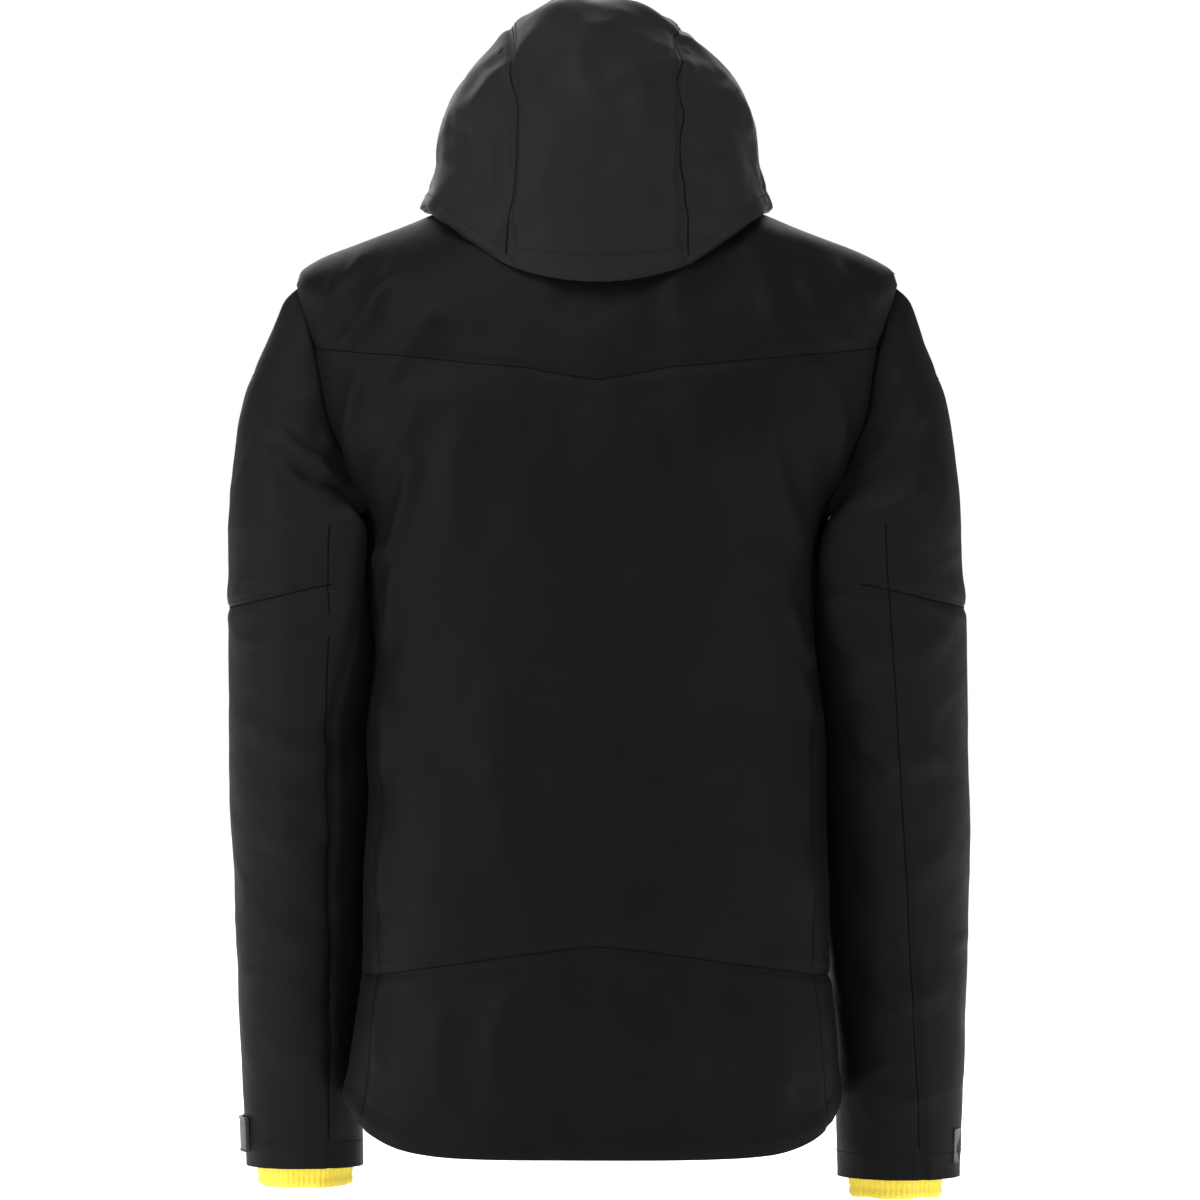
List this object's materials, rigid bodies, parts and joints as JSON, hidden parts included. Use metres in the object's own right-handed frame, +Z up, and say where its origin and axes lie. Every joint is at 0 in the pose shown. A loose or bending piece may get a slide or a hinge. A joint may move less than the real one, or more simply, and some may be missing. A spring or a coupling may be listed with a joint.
{
  "type": "ski jacket",
  "caption": "Insulated black ski jacket with a raised hood, front and pocket zips, rubber cuff tabs and yellow stretch wrist gaiters.",
  "frame": {"origin": "top of the hanger loop inside the back of the collar, where a hook holds the jacket", "axes": "+Z up along the jacket, -Y out of its zipped front, +X to the wearer's left"},
  "size_m": [0.5928, 0.2712, 0.9546],
  "materials": {
    "face_cloth": "matt twill softshell with a slight sheen",
    "hood_cloth": "the same twill, lit from above",
    "lining": "smooth taffeta",
    "gaiter_knit": "stretch knit, bright yellow",
    "tab_rubber": "ribbed moulded rubber",
    "zip_tape": "woven zip tape",
    "zip_teeth": "moulded zip teeth",
    "zip_metal": "black lacquered zinc"
  },
  "bodies": {
    "torso": {"back_yoke": "face_cloth", "back_panel": "face_cloth", "back_hem": "face_cloth", "collar": "face_cloth", "front_yoke_left": "face_cloth", "front_panel_left": "face_cloth", "side_panel_left": "face_cloth", "front_hem_left": "face_cloth", "lining_front_left": "lining", "pocket_bag_left": "lining", "pocket_zip_left": "zip_tape", "zip_tape_left": "zip_tape", "front_yoke_right": "face_cloth", "front_panel_right": "face_cloth", "side_panel_right": "face_cloth", "front_hem_right": "face_cloth", "lining_front_right": "lining", "pocket_bag_right": "lining", "pocket_zip_right": "zip_tape", "zip_tape_right": "zip_tape", "hood_gusset": "lining", "lining_body": "lining", "lining_back": "lining", "powder_skirt": "lining", "storm_flap": "lining", "hanger_loop": "zip_tape", "zip_teeth": "zip_teeth"},
    "hood": {"hood_strip": "hood_cloth", "hood_peak": "hood_cloth", "hood_side_left": "hood_cloth", "hood_side_right": "hood_cloth"},
    "main_zip_slider": {"main_slider": "zip_metal"},
    "main_zip_pull": {"main_pull": "tab_rubber"},
    "sleeve_left": {"shoulder_cap_left": "face_cloth", "upper_sleeve_left": "face_cloth", "lower_sleeve_left": "face_cloth"},
    "forearm_left_body": {"forearm_left": "face_cloth", "wrist_gaiter_left": "gaiter_knit"},
    "cuff_tab_left_body": {"cuff_tab_left": "tab_rubber"},
    "pocket_zip_slider_left": {"pocket_left_slider": "zip_metal"},
    "pocket_zip_pull_left": {"pocket_left_pull": "tab_rubber"},
    "sleeve_right": {"shoulder_cap_right": "face_cloth", "upper_sleeve_right": "face_cloth", "lower_sleeve_right": "face_cloth"},
    "forearm_right_body": {"forearm_right": "face_cloth", "wrist_gaiter_right": "gaiter_knit"},
    "cuff_tab_right_body": {"cuff_tab_right": "tab_rubber"},
    "pocket_zip_slider_right": {"pocket_right_slider": "zip_metal"},
    "pocket_zip_pull_right": {"pocket_right_pull": "tab_rubber"}
  },
  "joints": [
    {"name": "hood_fold", "type": "hinge", "parent": "torso", "child": "hood", "pos_m": [0, 0.053, -0.0785], "axis": [-1, 0, 0], "range_deg": [0, 80]},
    {"name": "main_zip_run", "type": "slide", "parent": "torso", "child": "main_zip_slider", "axis": [0, -0.0619, -0.9981], "range_m": [0, 0.735]},
    {"name": "main_pull_flip", "type": "hinge", "parent": "main_zip_slider", "child": "main_zip_pull", "pos_m": [0, -0.14138, -0.00793], "axis": [-1, 0, 0], "range_deg": [0, 150]},
    {"name": "sleeve_left_swing", "type": "hinge", "parent": "torso", "child": "sleeve_left", "pos_m": [0.238, -0.056, -0.071], "axis": [0, -1, 0], "range_deg": [0, 60]},
    {"name": "elbow_left_bend", "type": "hinge", "parent": "sleeve_left", "child": "forearm_left_body", "pos_m": [0.24355, -0.11557, -0.422], "axis": [-1, 0, 0], "range_deg": [0, 60]},
    {"name": "cuff_tab_left_peel", "type": "hinge", "parent": "forearm_left_body", "child": "cuff_tab_left_body", "pos_m": [0.26814, -0.17545, -0.764], "axis": [0, 0, -1], "range_deg": [0, 90]},
    {"name": "pocket_zip_left_run", "type": "slide", "parent": "torso", "child": "pocket_zip_slider_left", "axis": [0.0336, -0.047, -0.9983], "range_m": [0, 0.14]},
    {"name": "pocket_pull_left_flip", "type": "hinge", "parent": "pocket_zip_slider_left", "child": "pocket_zip_pull_left", "pos_m": [0.13863, -0.14318, -0.45727], "axis": [-0.859, -0.512, -0.0048], "range_deg": [0, 150]},
    {"name": "sleeve_right_swing", "type": "hinge", "parent": "torso", "child": "sleeve_right", "pos_m": [-0.238, -0.056, -0.071], "axis": [0, 1, 0], "range_deg": [0, 60]},
    {"name": "elbow_right_bend", "type": "hinge", "parent": "sleeve_right", "child": "forearm_right_body", "pos_m": [-0.24355, -0.11557, -0.422], "axis": [-1, 0, 0], "range_deg": [0, 60]},
    {"name": "cuff_tab_right_peel", "type": "hinge", "parent": "forearm_right_body", "child": "cuff_tab_right_body", "pos_m": [-0.26814, -0.17545, -0.764], "axis": [0, 0, 1], "range_deg": [0, 90]},
    {"name": "pocket_zip_right_run", "type": "slide", "parent": "torso", "child": "pocket_zip_slider_right", "axis": [-0.0336, -0.047, -0.9983], "range_m": [0, 0.14]},
    {"name": "pocket_pull_right_flip", "type": "hinge", "parent": "pocket_zip_slider_right", "child": "pocket_zip_pull_right", "pos_m": [-0.13863, -0.14318, -0.45727], "axis": [-0.859, 0.512, 0.0048], "range_deg": [0, 150]}
  ]
}
